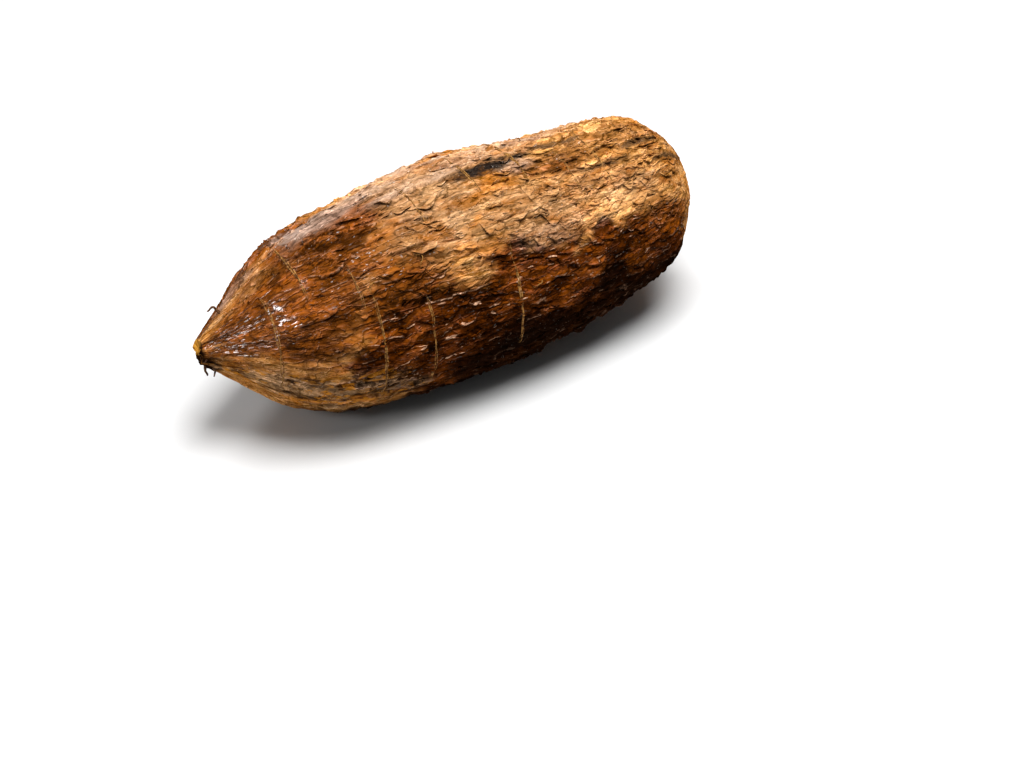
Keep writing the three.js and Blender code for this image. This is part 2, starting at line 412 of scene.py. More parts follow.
def stretchedNoise(tree, vector, ratio, scale, detail=3, distortion=0.0, rough=0.55):
    # noise drawn out along the grain
    squeezed = vectorMaths(tree, "MULTIPLY", vector, (1 / ratio, 1, 1))
    noise = addNode(tree, "ShaderNodeTexNoise", {"Vector": squeezed, "Scale": scale, "Detail": detail,
                                                 "Roughness": rough, "Distortion": distortion})
    return noise.outputs[0]


# The way that the free edges of the bark face, across the grain
downhill = (0, -0.5, -0.86)


def buildLayersGroup():
    # papery layers: a noise cut into terraces, with masks for the foot of each step, where shade is painted,
    # and for its lip, where a highlight is painted
    group, take, give = newGroup("paperyLayers", {"Grain": ("Vector", None), "Scale": ("Float", 160.0),
                                                  "Steps": ("Float", 5.0)},
                                 {"Height": "Float", "Foot": "Float", "Lip": "Float"})
    squeezed = vectorMaths(group, "MULTIPLY", take["Grain"], (0.24, 1, 1))
    noise = addNode(group, "ShaderNodeTexNoise", {"Vector": squeezed, "Scale": take["Scale"], "Detail": 4.0,
                                                  "Roughness": 0.62, "Distortion": 0.35})
    tall = times(group, noise.outputs[0], take["Steps"])
    whole = maths(group, "FLOOR", tall)
    part = maths(group, "SUBTRACT", tall, whole)
    edge = span(group, part, 0.0, 0.1)
    group.links.new(maths(group, "ADD", whole, edge), give["Height"])
    group.links.new(span(group, part, 0.8, 1.0), give["Foot"])
    lip = times(group, edge, span(group, part, 0.3, 0.08))
    group.links.new(lip, give["Lip"])
    return group


def buildLeavesGroup():
    # overlapping leaves of bark: each rises to its lower edge, some with a lip for a painted highlight, with
    # gaps between for painted shade
    group, take, give = newGroup("barkLeaves", {"Grain": ("Vector", None), "Scale": ("Float", 420.0),
                                                "Lip Width": ("Float", 0.0005)},
                                 {"Height": "Float", "Gap": "Float", "Lip": "Float", "Tone": "Float"})
    squeezed = vectorMaths(group, "MULTIPLY", take["Grain"], (0.45, 1, 1))
    bend = addNode(group, "ShaderNodeTexNoise", {"Vector": squeezed, "Scale": 260.0, "Detail": 3.0})
    bend = vectorMaths(group, "SUBTRACT", bend.outputs["Color"], (0.5, 0.5, 0.5))
    place = vectorMaths(group, "ADD", squeezed, vectorMaths(group, "SCALE", bend, 0.006))
    lower = vectorMaths(group, "ADD", place, vectorMaths(group, "SCALE", downhill, take["Lip Width"]))
    here = addNode(group, "ShaderNodeTexVoronoi", {"Vector": place, "Scale": take["Scale"]})
    below = addNode(group, "ShaderNodeTexVoronoi", {"Vector": lower, "Scale": take["Scale"]})
    edge = addNode(group, "ShaderNodeTexVoronoi", {"Vector": place, "Scale": take["Scale"]},
                   feature="DISTANCE_TO_EDGE")
    kind = addNode(group, "ShaderNodeSeparateColor", {0: here.outputs["Color"]})
    kindBelow = addNode(group, "ShaderNodeSeparateColor", {0: below.outputs["Color"]})
    changed = maths(group, "ABSOLUTE", maths(group, "SUBTRACT", kind.outputs[0], kindBelow.outputs[0]))
    changed = maths(group, "GREATER_THAN", changed, 0.001)
    group.links.new(times(group, changed, kind.outputs[1]), give["Lip"])
    gap = span(group, edge.outputs["Distance"], 0.09, 0.015)
    group.links.new(times(group, gap, span(group, kind.outputs[2], 0.1, 0.6)), give["Gap"])
    offset = vectorMaths(group, "SUBTRACT", place, here.outputs["Position"])
    tilt = times(group, vectorMaths(group, "DOT_PRODUCT", offset, downhill), take["Scale"])
    rounded = times(group, span(group, edge.outputs["Distance"], 0.0, 0.22), kind.outputs[1])
    height = times(group, maths(group, "ADD", tilt, 0.9), rounded)
    group.links.new(height, give["Height"])
    group.links.new(kind.outputs[0], give["Tone"])
    return group


def buildLensesGroup():
    # long lens-shaped swellings: a lip along the lower edge of each for a painted highlight, and a line under
    # it for a painted shadow
    group, take, give = newGroup("barkLenses", {"Grain": ("Vector", None), "Scale": ("Float", 180.0),
                                                "Stretch": ("Float", 0.35), "Lip Width": ("Float", 0.0006)},
                                 {"Height": "Float", "Lip": "Float", "Line": "Float"})
    shape = addNode(group, "ShaderNodeCombineXYZ", {0: take["Stretch"], 1: 1.0, 2: 1.0}).outputs[0]
    place = vectorMaths(group, "MULTIPLY", take["Grain"], shape)
    step = vectorMaths(group, "SCALE", downhill, take["Lip Width"])
    lower, upper = vectorMaths(group, "ADD", place, step), vectorMaths(group, "SUBTRACT", place, step)
    here, below, above = [
        addNode(group, "ShaderNodeTexNoise", {"Vector": vector, "Scale": take["Scale"], "Detail": 2.5,
                                              "Roughness": 0.5, "Distortion": 0.4}).outputs[0]
        for vector in (place, lower, upper)]
    inside = span(group, here, 0.49, 0.51)
    group.links.new(times(group, inside, span(group, below, 0.505, 0.485)), give["Lip"])
    group.links.new(times(group, span(group, here, 0.505, 0.495), span(group, above, 0.485, 0.505)),
                    give["Line"])
    dome = maths(group, "ADD", span(group, here, 0.49, 0.54), span(group, here, 0.36, 0.7))
    group.links.new(times(group, dome, 0.5), give["Height"])
    return group


def buildStrandGroup():
    # fine fibres along the grain
    group, take, give = newGroup("fineStrands", {"Grain": ("Vector", None)},
                                 {"Strand": "Float", "Fleck": "Float"})
    broad = stretchedNoise(group, take["Grain"], 9, 700, 3, 0.2)
    narrow = stretchedNoise(group, take["Grain"], 14, 2100, 2)
    both = maths(group, "ADD", times(group, broad, 0.6), times(group, narrow, 0.4))
    group.links.new(both, give["Strand"])
    fleck = stretchedNoise(group, take["Grain"], 2.2, 1500, 2, 0.0, 0.7)
    group.links.new(span(group, fleck, 0.66, 0.74), give["Fleck"])
    return group


def placeGroup(tree, group, values):
    return addNode(tree, "ShaderNodeGroup", values, node_tree=group).outputs


def weighted(tree, parts, clamp=True):
    # the sum of masks, each times its weight
    total = None
    for mask, weight in parts:
        share = times(tree, mask, weight)
        total = share if total is None else maths(tree, "ADD", total, share, clamp=clamp)
    return total


# The bark's colours. A pair runs from the darker to the lighter, or from the dry bark's to the glazed bark's.
barkColours = {
    "dry": ("824a17", "d39855"),
    "pale": ("85562c", "a6815d"),
    "amber": ("1e0b00", "773a03"),
    # the next pair is darker bark with painted shade, for the lower front side
    "darkbarkandshade": ("100500", "6a3103"),
    # the next pair is painted shade, for the shaded lower front
    "paintedshade": ("0a0502", "231006"),
    "soil": ("120b07", "8f6e4e"),
    "orange": ("aa651c", "8a4608"),
    # the next pair is a painted highlight for the free edges
    "chip": ("d9b792", "d3a585"),
    "bare": ("6e5547", "ab9588"),
    "flesh": ("9a5a18", "f6b64a"),
    # the next colour is a painted sheen, for the top of the root
    "film": "a68f7f",
    "soot": "261f1a",
    "grit": "c07a26",
    # the next colour is painted shade, for the gaps and cracks
    "gap": "1d0b04",
    "fleck": "eadfd2",
}
barkMasks = ["Amber", "Pale", "PaintedLight", "Lilac", "DarkBarkAndShade", "PaintedShade", "Gloss", "Soil", "Soot", "Tone", "Crack", "Rim",
             "Peel", "Worn", "Flesh"]


def toneOf(tree, factor, name):
    # a colour between the two of a pair
    first, second = barkColours[name]
    return blendColour(tree, factor, paint(first), paint(second))


def buildPaletteGroup(leaves, lenses, layers, strands):
    # the bark's colour, roughness and fine height from the masks that a piece carries
    inputs = {"Grain": ("Vector", None)}
    inputs.update({name: ("Float", 0.0) for name in barkMasks})
    group, take, give = newGroup("barkPalette", inputs,
                                 {"Color": "Color", "Roughness": "Float", "Height": "Float", "Wax": "Float"})
    large = placeGroup(group, leaves, {"Grain": take["Grain"], "Scale": 215, "Lip Width": 0.0006})
    small = placeGroup(group, leaves, {"Grain": take["Grain"], "Scale": 520, "Lip Width": 0.00035})
    plate = placeGroup(group, leaves, {"Grain": take["Grain"], "Scale": 108, "Lip Width": 0.0008})
    lens = placeGroup(group, lenses, {"Grain": take["Grain"], "Scale": 190, "Stretch": 0.36,
                                      "Lip Width": 0.0006})
    crease = placeGroup(group, lenses, {"Grain": take["Grain"], "Scale": 330, "Stretch": 0.2,
                                        "Lip Width": 0.0004})
    ripple = placeGroup(group, lenses, {"Grain": take["Grain"], "Scale": 520, "Stretch": 0.38,
                                        "Lip Width": 0.00035})
    film = placeGroup(group, layers, {"Grain": take["Grain"], "Scale": 150, "Steps": 7})
    fibre = placeGroup(group, strands, {"Grain": take["Grain"]})
    patches = stretchedNoise(group, take["Grain"], 2.5, 60, 3, 0.3)
    mottle = stretchedNoise(group, take["Grain"], 3, 240, 5, 0.4, 0.62)
    blot = stretchedNoise(group, take["Grain"], 2, 110, 3, 0.5)
    busy = span(group, stretchedNoise(group, take["Grain"], 1.8, 75, 2, 0.6), 0.42, 0.58, 0.12, 1.0)
    glazed = maths(group, "MAXIMUM", take["Amber"], take["DarkBarkAndShade"])
    busy = times(group, busy, span(group, glazed, 0.0, 1.0, 1.0, 0.4))

    # where each leaf lies between the dark and the light of its zone
    dry = maths(group, "SUBTRACT", 1.0, glazed)
    light = weighted(group, [(large["Tone"], 0.16), (plate["Tone"], 0.2), (mottle, 0.55), (small["Tone"], 0.12),
                             (take["Tone"], 0.3)], clamp=False)
    light = span(group, light, 0.36, 0.94)
    base = toneOf(group, light, "dry")
    base = blendColour(group, take["Pale"], base, toneOf(group, light, "pale"))
    base = blendColour(group, times(group, take["Amber"], 0.95), base, toneOf(group, light, "amber"))
    # darker bark of the lower front side, with painted shade
    base = blendColour(group, take["DarkBarkAndShade"], base, toneOf(group, light, "darkbarkandshade"))
    # painted shade: the lower front darkened towards black
    base = blendColour(group, take["PaintedShade"], base, toneOf(group, light, "paintedshade"))
    soil = toneOf(group, span(group, light, 0.27, 0.82), "soil")
    base = blendColour(group, times(group, take["Soil"], 0.9), base, soil)
    # painted light: the dry bark up to 1.42 times brighter where it faces sideways
    paintedLightLift = span(group, times(group, take["PaintedLight"], dry), 0.0, 1.0, 1.0, 1.42)
    base = tinted(group, base, value=paintedLightLift)
    # painted sheen: a pale lilac-grey colour in patches along the top
    paintedSheen = times(group, take["Lilac"], span(group, patches, 0.36, 0.6))
    paintedSheen = times(group, paintedSheen, span(group, light, 0.1, 0.9, 0.3, 0.72))
    base = blendColour(group, paintedSheen, base, paint(barkColours["film"]))
    orange = times(group, span(group, blot, 0.5, 0.64), 0.65)
    orange = times(group, orange, span(group, take["Pale"], 0.0, 1.0, 1.0, 0.75))
    orange = times(group, orange, span(group, paintedSheen, 0.0, 0.5, 1.0, 0.2))
    orange = times(group, orange, span(group, take["PaintedShade"], 0.0, 1.0, 1.0, 0.1))
    base = blendColour(group, orange, base, toneOf(group, glazed, "orange"))
    burnt = times(group, take["Soot"], span(group, mottle, 0.34, 0.5, 0.4, 1.0))
    base = blendColour(group, burnt, base, paint(barkColours["soot"]))

    # drawn-out streaks where the bark is smooth and tight
    streaks = span(group, stretchedNoise(group, take["Grain"], 7, 420, 4, 0.3, 0.6), 0.4, 0.6, 0.5, 1.55)
    bands = span(group, stretchedNoise(group, take["Grain"], 6, 130, 3, 0.3), 0.38, 0.62, 0.72, 1.3)
    streaks = times(group, streaks, bands)
    tight = maths(group, "MAXIMUM", take["Worn"], times(group, take["Soil"], 0.8))
    streaks = addNode(group, "ShaderNodeMix", {0: tight, 2: 1.0, 3: streaks}).outputs[0]
    shade = times(group, span(group, fibre["Strand"], 0.3, 0.7, 0.82, 1.14), streaks)
    grey = addNode(group, "ShaderNodeCombineColor", {0: shade, 1: shade, 2: shade}).outputs[0]
    base = blendColour(group, 1.0, base, grey, "MULTIPLY")

    # painted highlights on the lips: the same bark made brighter along raised edges, on the glazed bark only
    # here and there
    lips = weighted(group, [(large["Lip"], 0.3), (plate["Lip"], times(group, dry, 0.5)),
                            (small["Lip"], times(group, busy, 0.4)), (film["Lip"], 0.2),
                            (take["Rim"], 0.4), (crease["Lip"], span(group, glazed, 0.0, 1.0, 0.3, 0.8)),
                            (ripple["Lip"], 0.35)])
    lips = times(group, lips, span(group, mottle, 0.42, 0.6, 0.1, 1.0))
    base = blendColour(group, lips, base, tinted(group, base, 0.88, 2.2))

    # paler chips along the free edges: a painted highlight, strongest on the darker lower side
    chips = weighted(group, [(span(group, take["Rim"], 0.72, 0.92), 0.7),
                             (lens["Lip"], span(group, glazed, 0.0, 1.0, 0.3, 0.9))])
    broken = span(group, stretchedNoise(group, take["Grain"], 2.0, 300, 2), 0.44, 0.52)
    broken = times(group, broken, span(group, mottle, 0.42, 0.6, 0.1, 1.0))
    chips = times(group, chips, broken)
    chips = times(group, chips, span(group, take["DarkBarkAndShade"], 0.0, 1.0, 0.45, 1.6), clamp=True)
    chips = times(group, chips, span(group, take["PaintedShade"], 0.0, 1.0, 1.0, 0.15))
    base = blendColour(group, chips, base, toneOf(group, glazed, "chip"))

    # orange grit in the dried soil
    grit = span(group, stretchedNoise(group, take["Grain"], 3, 450, 3, 0.3), 0.52, 0.58)
    grit = times(group, times(group, grit, take["Soil"]),
                 span(group, blot, 0.4, 0.55, 0.1, 0.9))
    base = blendColour(group, grit, base, paint(barkColours["grit"]))

    # painted shade in the gaps, cracks and pits: the same bark made darker and mixed towards the gap colour
    plateGap = times(group, plate["Gap"], span(group, mottle, 0.42, 0.55))
    rippleLine = times(group, ripple["Line"], span(group, patches, 0.36, 0.56, 0.2, 1.0))
    feet = weighted(group, [(large["Gap"], span(group, dry, 0.0, 1.0, 0.7, 0.4)),
                            (plateGap, times(group, dry, 0.75)), (film["Foot"], 0.35),
                            (small["Gap"], times(group, busy, 0.5)),
                            (crease["Line"], span(group, dry, 0.0, 1.0, 0.8, 0.6)), (lens["Line"], 0.8),
                            (rippleLine, 0.65)])
    pits = span(group, stretchedNoise(group, take["Grain"], 1.8, 900, 2), 0.38, 0.32)
    feet = maths(group, "MAXIMUM", feet, times(group, pits, 0.55))
    feet = maths(group, "MAXIMUM", feet, take["Crack"])
    feet = times(group, feet, span(group, take["Worn"], 0.0, 1.0, 0.92, 0.8, smooth=False))
    feet = times(group, feet, span(group, paintedSheen, 0.0, 0.7, 1.0, 0.6))
    gapShadeValue = span(group, glazed, 0.0, 1.0, 0.34, 0.16)
    under = blendColour(group, 0.3, tinted(group, base, 1.1, gapShadeValue), paint(barkColours["gap"]))
    base = blendColour(group, feet, base, under)

    # pale flecks, the peeled patch and the snapped flesh
    speck = times(group, fibre["Fleck"], span(group, take["Lilac"], 0.0, 1.0, 0.2, 0.8))
    speck = times(group, speck, span(group, glazed, 0.0, 1.0, 1.0, 0.5))
    base = blendColour(group, speck, base, paint(barkColours["fleck"]))
    peel = times(group, take["Peel"], span(group, feet, 0.1, 0.6, 1.0, 0.45))
    base = blendColour(group, peel, base, toneOf(group, span(group, mottle, 0.35, 0.7), "bare"))
    base = blendColour(group, take["Flesh"], base, toneOf(group, span(group, mottle, 0.35, 0.65), "flesh"))
    group.links.new(base, give["Color"])

    rough = span(group, mottle, 0.3, 0.7, 0.4, 0.68)
    rough = maths(group, "ADD", rough, times(group, feet, 0.25), clamp=True)
    group.links.new(rough, give["Roughness"])

    # wax in broken streaks on the tail, and small sparks on the glazed bark
    wax = span(group, stretchedNoise(group, take["Grain"], 3.5, 900, 3), 0.46, 0.58)
    wax = times(group, wax, maths(group, "SUBTRACT", 1.0, feet))
    wax = times(group, wax, span(group, blot, 0.38, 0.55, 0.15, 1.0))
    wax = times(group, wax, take["Gloss"])
    sparks = span(group, stretchedNoise(group, take["Grain"], 2.5, 1100, 2, 0.0, 0.6), 0.64, 0.68)
    sparks = times(group, sparks, span(group, glazed, 0.0, 1.0, 0.3, 0.9))
    wax = maths(group, "MAXIMUM", wax, sparks)
    wax = times(group, wax, span(group, take["PaintedShade"], 0.0, 1.0, 1.0, 0.03))
    wax = times(group, wax, span(group, take["Peel"], 0.0, 1.0, 1.0, 0.15))
    group.links.new(wax, give["Wax"])

    # fine height, calmer where the bark is worn
    height = weighted(group, [(large["Height"], span(group, take["Pale"], 0.0, 1.0, 0.3, 0.14)), (pits, -0.12),
                              (plate["Height"], times(group, dry, 0.55)),
                              (small["Height"], times(group, busy, 0.26)), (film["Height"], 0.12),
                              (fibre["Strand"], 0.12), (lens["Height"], 0.4), (crease["Height"], 0.22),
                              (ripple["Height"], 0.18)], clamp=False)
    calm = span(group, take["Worn"], 0.0, 1.0, 1.0, 0.7, smooth=False)
    group.links.new(times(group, height, calm), give["Height"])
    return group


def barkMaterial(materialName, palette, look):
    material = bpy.data.materials.new(materialName)
    material.use_nodes = True
    tree = material.node_tree
    shader = tree.nodes["Principled BSDF"]
    masks = {"Grain": addNode(tree, "ShaderNodeAttribute", attribute_name="grain").outputs["Vector"]}
    for name in barkMasks:
        masks[name] = addNode(tree, "ShaderNodeAttribute", attribute_name=name.lower()).outputs["Fac"]
    bark = placeGroup(tree, palette, masks)
    bump = addNode(tree, "ShaderNodeBump", {"Strength": look["bumpStrength"], "Distance": look["bumpDepth"],
                                            "Height": bark["Height"]})
    tree.links.new(bark["Color"], shader.inputs["Base Color"])
    tree.links.new(bark["Roughness"], shader.inputs["Roughness"])
    tree.links.new(bump.outputs["Normal"], shader.inputs["Normal"])
    tree.links.new(times(tree, bark["Wax"], look["wax"]), shader.inputs["Coat Weight"])
    shader.inputs["Coat Roughness"].default_value = look["waxRoughness"]
    shader.inputs["Specular IOR Level"].default_value = 0.0  # only the wax shines
    return material


barkLooks = {
    "barkSkin": {"bumpStrength": 0.75, "bumpDepth": 0.001, "wax": 1.0, "waxRoughness": 0.14},
    "barkPaper": {"bumpStrength": 0.6, "bumpDepth": 0.0006, "wax": 0.6, "waxRoughness": 0.14},
}
paletteGroup = buildPaletteGroup(buildLeavesGroup(), buildLensesGroup(), buildLayersGroup(), buildStrandGroup())
barkSkin = barkMaterial("barkSkin", paletteGroup, barkLooks["barkSkin"])
barkPaper = barkMaterial("barkPaper", paletteGroup, barkLooks["barkPaper"])
print("bark materials built")


# The fine bark between the cracks. A scale is (length, rows round the root, seed); heights are in millimetres.
bodyForm = {
    "stationGap": 1.06,
    "fractureDepth": 1.1,
    "broadScale": (13, 60, 301),
    "narrowScale": (6.5, 124, 331),
    "broadHeight": 0.85,
    "narrowHeight": 0.32,
    "layers": 4.5,
    "layerHeight": 0.1575,
    "strandHeights": (0.16, 0.1),
    "wrinkle": 0.5,
    "tailSmooth": (-95, 0.4, 30, 0.25),
    "freshFlesh": 0.07,
}


def buildBody():
    # a profile spun round X, then shaped by the root's own form
    bm = bmesh.new()
    corners = [(tailEnd, 0)] + rootForm["outline"] + [(headEnd, 0)]
    verts = [bm.verts.new((along, 0, radius)) for along, radius in corners]
    edges = [bm.edges.new(pair) for pair in zip(verts, verts[1:])]
    for edge in edges:
        cuts = max(1, round(edge.calc_length() / bodyForm["stationGap"]) - 1)
        bmesh.ops.subdivide_edges(bm, edges=[edge], cuts=cuts)
    columns = crackForm["count"] * len(crackForm["shares"])
    bmesh.ops.spin(bm, geom=bm.verts[:] + bm.edges[:], cent=(0, 0, 0), axis=(1, 0, 0), angle=turnFull,
                   steps=columns, use_merge=True)
    bmesh.ops.remove_doubles(bm, verts=bm.verts, dist=1e-4)
    bmesh.ops.recalc_face_normals(bm, faces=bm.faces)
    body = addPiece("rootBody", bm, barkSkin)
    shapeBody(body.data, columns)
    return body


def shapeBody(mesh, columns):
    points = readPoints(mesh)
    along, radial = points[:, 0], np.hypot(points[:, 1], points[:, 2])
    evenTurn = np.arctan2(points[:, 2], points[:, 1]) / turnFull % 1
    count = crackForm["count"]
    shares = np.array(crackForm["shares"])
    column = np.round(evenTurn * columns).astype(int) % columns
    row, share = column // len(shares), shares[column % len(shares)]
    blend = np.clip((share - 0.24) / 0.58, 0, 1)
    sway = swayOf(along, row) * (1 - blend) + swayOf(along, (row + 1) % count) * blend
    turn = ((row + share + sway) / count) % 1

    openNear, nearFlag = opening(along, row)
    openFar, farFlag = opening(along, (row + 1) % count)
    whole = ease(4, 40, along - tailEnd)
    openNear, openFar = openNear * whole, openFar * whole
    ragged = 0.8 + 0.4 * wander(along / 2.3, row / count, count, 57)
    nearLip = ease(0.01, 0.08, share) * (1 - ease(0.14, 0.8, share))
    farLip = ease(0.3, 0.93, share) ** 1.4 * (1 - ease(0.945, 0.99, share))
    plates = crackForm["lift"] * ragged * (np.where(nearFlag, openNear * nearLip, 0)
                                           + np.where(farFlag, 0, openFar * farLip))
    gap = np.maximum(openNear * (1 - ease(0, 0.08, share)), openFar * ease(0.95, 1, share))
    zones = zonesAt(along, turn)
    bare = peeled(along, turn)
    shelter = shelterAt(along, turn)
    smoothBark = np.clip(0.45 * spot(along, turn, bodyForm["tailSmooth"]) + 0.25 * zones["soil"], 0, 0.8)

    number, broad, broadGap, broadRim = scaleRelief(along, turn, *bodyForm["broadScale"])
    _, narrow, narrowGap, narrowRim = scaleRelief(along, turn, *bodyForm["narrowScale"])
    rough = ease(-0.35, 0.35, roughness(along, turn, 34, 14, 371, 2))
    scales = (bodyForm["broadHeight"] * broad + bodyForm["narrowHeight"] * rough * narrow) * (1 - smoothBark)
    layered = roughness(along, turn, 30, 22, 401, 5) * bodyForm["layers"]
    level = np.floor(layered)
    terrace = layered - level
    steps = bodyForm["layerHeight"] * (level + ease(0, 0.16, terrace)) * (1 - 0.8 * smoothBark)
    coarse, fine = bodyForm["strandHeights"]
    strand = coarse * wander(along / 7, turn, 260, 501) + fine * wander(along / 3, turn, 420, 502)
    wrinkled = np.maximum(smoothBark, 0.6 * zones["amber"])
    strand += bodyForm["wrinkle"] * wrinkled * roughness(along, turn, 11, 78, 521, 2)
    ridge = threadRidge(along, turn)
    bark = plates - crackForm["depth"] * gap + scales + steps + strand + threadForm["ridgeHeight"] * ridge
    relief = broadRelief(along, turn) + (1 - bare) * bark - bare * peelForm["depth"]
    full = radiusAt(along)
    scale = shelter * np.sqrt(full / rootForm["widest"])
    ends = (along <= tailEnd + 1e-3) | (along >= headEnd - 1e-3)
    fracture = np.where(ends, bodyForm["fractureDepth"] * wander(radial / 2.4, turn, 7, 5), 0)
    fracture += np.where(ends, 0.4 * wander(radial / 0.7, turn, 21, 6), 0)
    height = np.where(ends, 0, scale * relief)
    reach = np.where(ends, radial / full, 1)
    writePoints(mesh, skinPoint(along + fracture, turn, height, reach))
    keepHeights(along[~ends], turn[~ends], height[~ends], columns)

    # the crack mask marks painted shade: the gaps between scales, the crack openings and the foot of each layer
    # step
    gaps = (0.7 * broadGap + 0.4 * narrowGap * rough) * (1 - smoothBark)
    cracks = np.clip(gap + gaps + 0.4 * ease(0.86, 1, terrace), 0, 1)
    # the rim mask marks painted highlights: the raised lips of the cracks and scales, and the welts under the
    # threads
    lips = np.where(nearFlag, openNear * nearLip ** 3, 0)
    lips = lips + np.where(farFlag, 0, openFar * ease(0.75, 0.93, share))
    lips = np.clip(0.7 * lips + 0.6 * broadRim + 0.3 * narrowRim, 0, 1)
    masks = dict(zones)
    cracks = cracks * (1 - 0.8 * ridge)
    lips = np.clip(lips + 0.55 * ridge, 0, 1)
    tip = (along <= tailEnd + 0.5) * 1.0
    fresh = 1 - ease(0.14, 0.24, np.abs(turnGap(turn, bodyForm["freshFlesh"])))
    bodyPlaces["along"], bodyPlaces["turn"] = along, turn
    masks.update(grain=grainOf(along, turn, reach), crack=cracks * (1 - bare), rim=lips * (1 - bare) * shelter,
                 tone=0.5 + 0.5 * (number - 0.5) + 0.3 * roughness(along, turn, 22, 24, 601),
                 peel=bare, worn=np.maximum(smoothBark, 1 - shelter), flesh=tip * fresh)
    # the snapped tail end, past its fresh sliver, takes the same painted shade
    masks["paintedshade"] = np.maximum(masks["paintedshade"], tip * (1 - fresh))
    storeMasks(mesh, masks)
    mesh.polygons.foreach_set("use_smooth", np.ones(len(mesh.polygons), bool))


# Where the body's points lie, for the shade painted under flakes
bodyPlaces = {}
underFlakeShadeForm = {"alongStep": 0.4, "turns": 640, "reach": 0.75, "strength": 1.0}


def paintShadeUnderFlakes(body, edges):
    # darken the bark just past each free edge: painted shade under the flakes
    rows = int((headEnd - tailEnd) / underFlakeShadeForm["alongStep"]) + 3
    marks = np.zeros((rows, underFlakeShadeForm["turns"]))
    for along, turn, amount in edges:
        i = np.clip((along - tailEnd) / underFlakeShadeForm["alongStep"], 0, rows - 2).astype(int)
        j = np.floor(turn * underFlakeShadeForm["turns"]).astype(int) % underFlakeShadeForm["turns"]
        np.maximum.at(marks, (i, j), amount)
    for shift in (1, -1):
        marks = np.maximum(marks, 0.75 * np.roll(marks, shift, 1))
        marks = np.maximum(marks, 0.75 * np.roll(marks, shift, 0))
    i = np.clip((bodyPlaces["along"] - tailEnd) / underFlakeShadeForm["alongStep"], 0, rows - 2).astype(int)
    j = np.floor(bodyPlaces["turn"] * underFlakeShadeForm["turns"]).astype(int) % underFlakeShadeForm["turns"]
    layer = body.data.attributes["crack"].data
    crack = np.empty(len(layer), np.float32)
    layer.foreach_get("value", crack)
    crack = np.clip(np.maximum(crack, underFlakeShadeForm["strength"] * marks[i, j]), 0, 1)
    layer.foreach_set("value", crack.astype(np.float32))


# The finished height of the bark on an even grid, so that flakes and threads can lie on it
barkHeights = {}


def keepHeights(along, turn, height, columns):
    order = np.argsort(np.round(along, 3), kind="stable")
    along, turn, height = along[order], turn[order], height[order]
    rings = len(along) // columns
    evenTurns = (np.arange(columns) + 0.5) / columns
    table = np.empty((rings, columns))
    for ring in range(rings):
        part = slice(ring * columns, (ring + 1) * columns)
        table[ring] = np.interp(evenTurns, turn[part], height[part], period=1)
    barkHeights["along"] = along[::columns][:rings]
    barkHeights["table"] = table


def heightAt(along, turn):
    table = barkHeights["table"]
    rings, columns = table.shape
    i = np.interp(along, barkHeights["along"], np.arange(rings))
    j = (turn * columns - 0.5) % columns
    i0, j0 = np.floor(i).astype(int), np.floor(j).astype(int) % columns
    i1, j1 = np.minimum(i0 + 1, rings - 1), (j0 + 1) % columns
    u, v = i - i0, j - np.floor(j)
    return ((table[i0, j0] * (1 - v) + table[i0, j1] * v) * (1 - u)
            + (table[i1, j0] * (1 - v) + table[i1, j1] * v) * u)


rootBody = buildBody()
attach(rootBody, "root")
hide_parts("cassava_root")
print("root body", len(rootBody.data.polygons), "faces")


# Loose bark: thin leaves held along one edge, whose free edge stands off and curls.
# rim is the strongest painted highlight along a flake's free edge
flakeForms = {
    "barkSheets": {"count": 170, "seed": 16, "length": (8, 17), "width": (3.6, 7), "slope": (0.03, 0.1),
                   "cells": (6, 15), "curl": (0.05, 0.4), "swing": 0.3, "bow": 0.4, "rim": 0.5,
                   "thick": 0.25, "calm": 0.1, "bark": "dry"},
    "barkPlates": {"count": 760, "seed": 11, "length": (5, 13), "width": (1.8, 4.2), "slope": (0.05, 0.22),
                   "curl": (0.1, 0.9), "swing": 0.16, "bow": 0.3, "rim": 0.6, "thick": 0.2, "calm": 0.2},
    "barkFlakes": {"count": 1450, "seed": 12, "length": (2, 6.5), "width": (0.6, 1.5), "slope": (0.06, 0.3),
                   "curl": (0.1, 0.9), "swing": 0.2, "bow": 0.15, "rim": 0.8, "thick": 0.15, "calm": 0.35},
    "barkFringe": {"count": 330, "seed": 17, "length": (1.2, 4.5), "width": (0.8, 1.5), "slope": (0.6, 1.2),
                   "curl": (0.2, 1.2), "swing": 0.5, "bow": 0.2, "rim": 1.0, "thick": 0.14, "calm": 1,
                   "band": (0.14, 0.018)},
    "barkCurls": {"count": 820, "seed": 13, "length": (2.5, 9), "width": (0.9, 1.9), "slope": (0.3, 0.7),
                  "curl": (1.0, 2.4), "swing": 0.28, "bow": 0.4, "rim": 0.8, "thick": 0.18, "calm": 0.08},
    "barkScales": {"count": 560, "seed": 15, "length": (3.5, 8.5), "width": (1.2, 2.3), "slope": (0.12, 0.3),
                   "curl": (0.2, 0.9), "swing": 0.09, "bow": 0.1, "rim": 1.1, "thick": 0.16, "calm": 1.0,
                   "bark": "glazed"},
    "barkFuzz": {"count": 1200, "seed": 14, "length": (0.9, 3.2), "width": (0.4, 1.0), "slope": (0.3, 1.0),
                 "curl": (0.2, 1.6), "swing": 0.4, "bow": 0.1, "rim": 0.7, "thick": 0.12, "calm": 0.9},
}

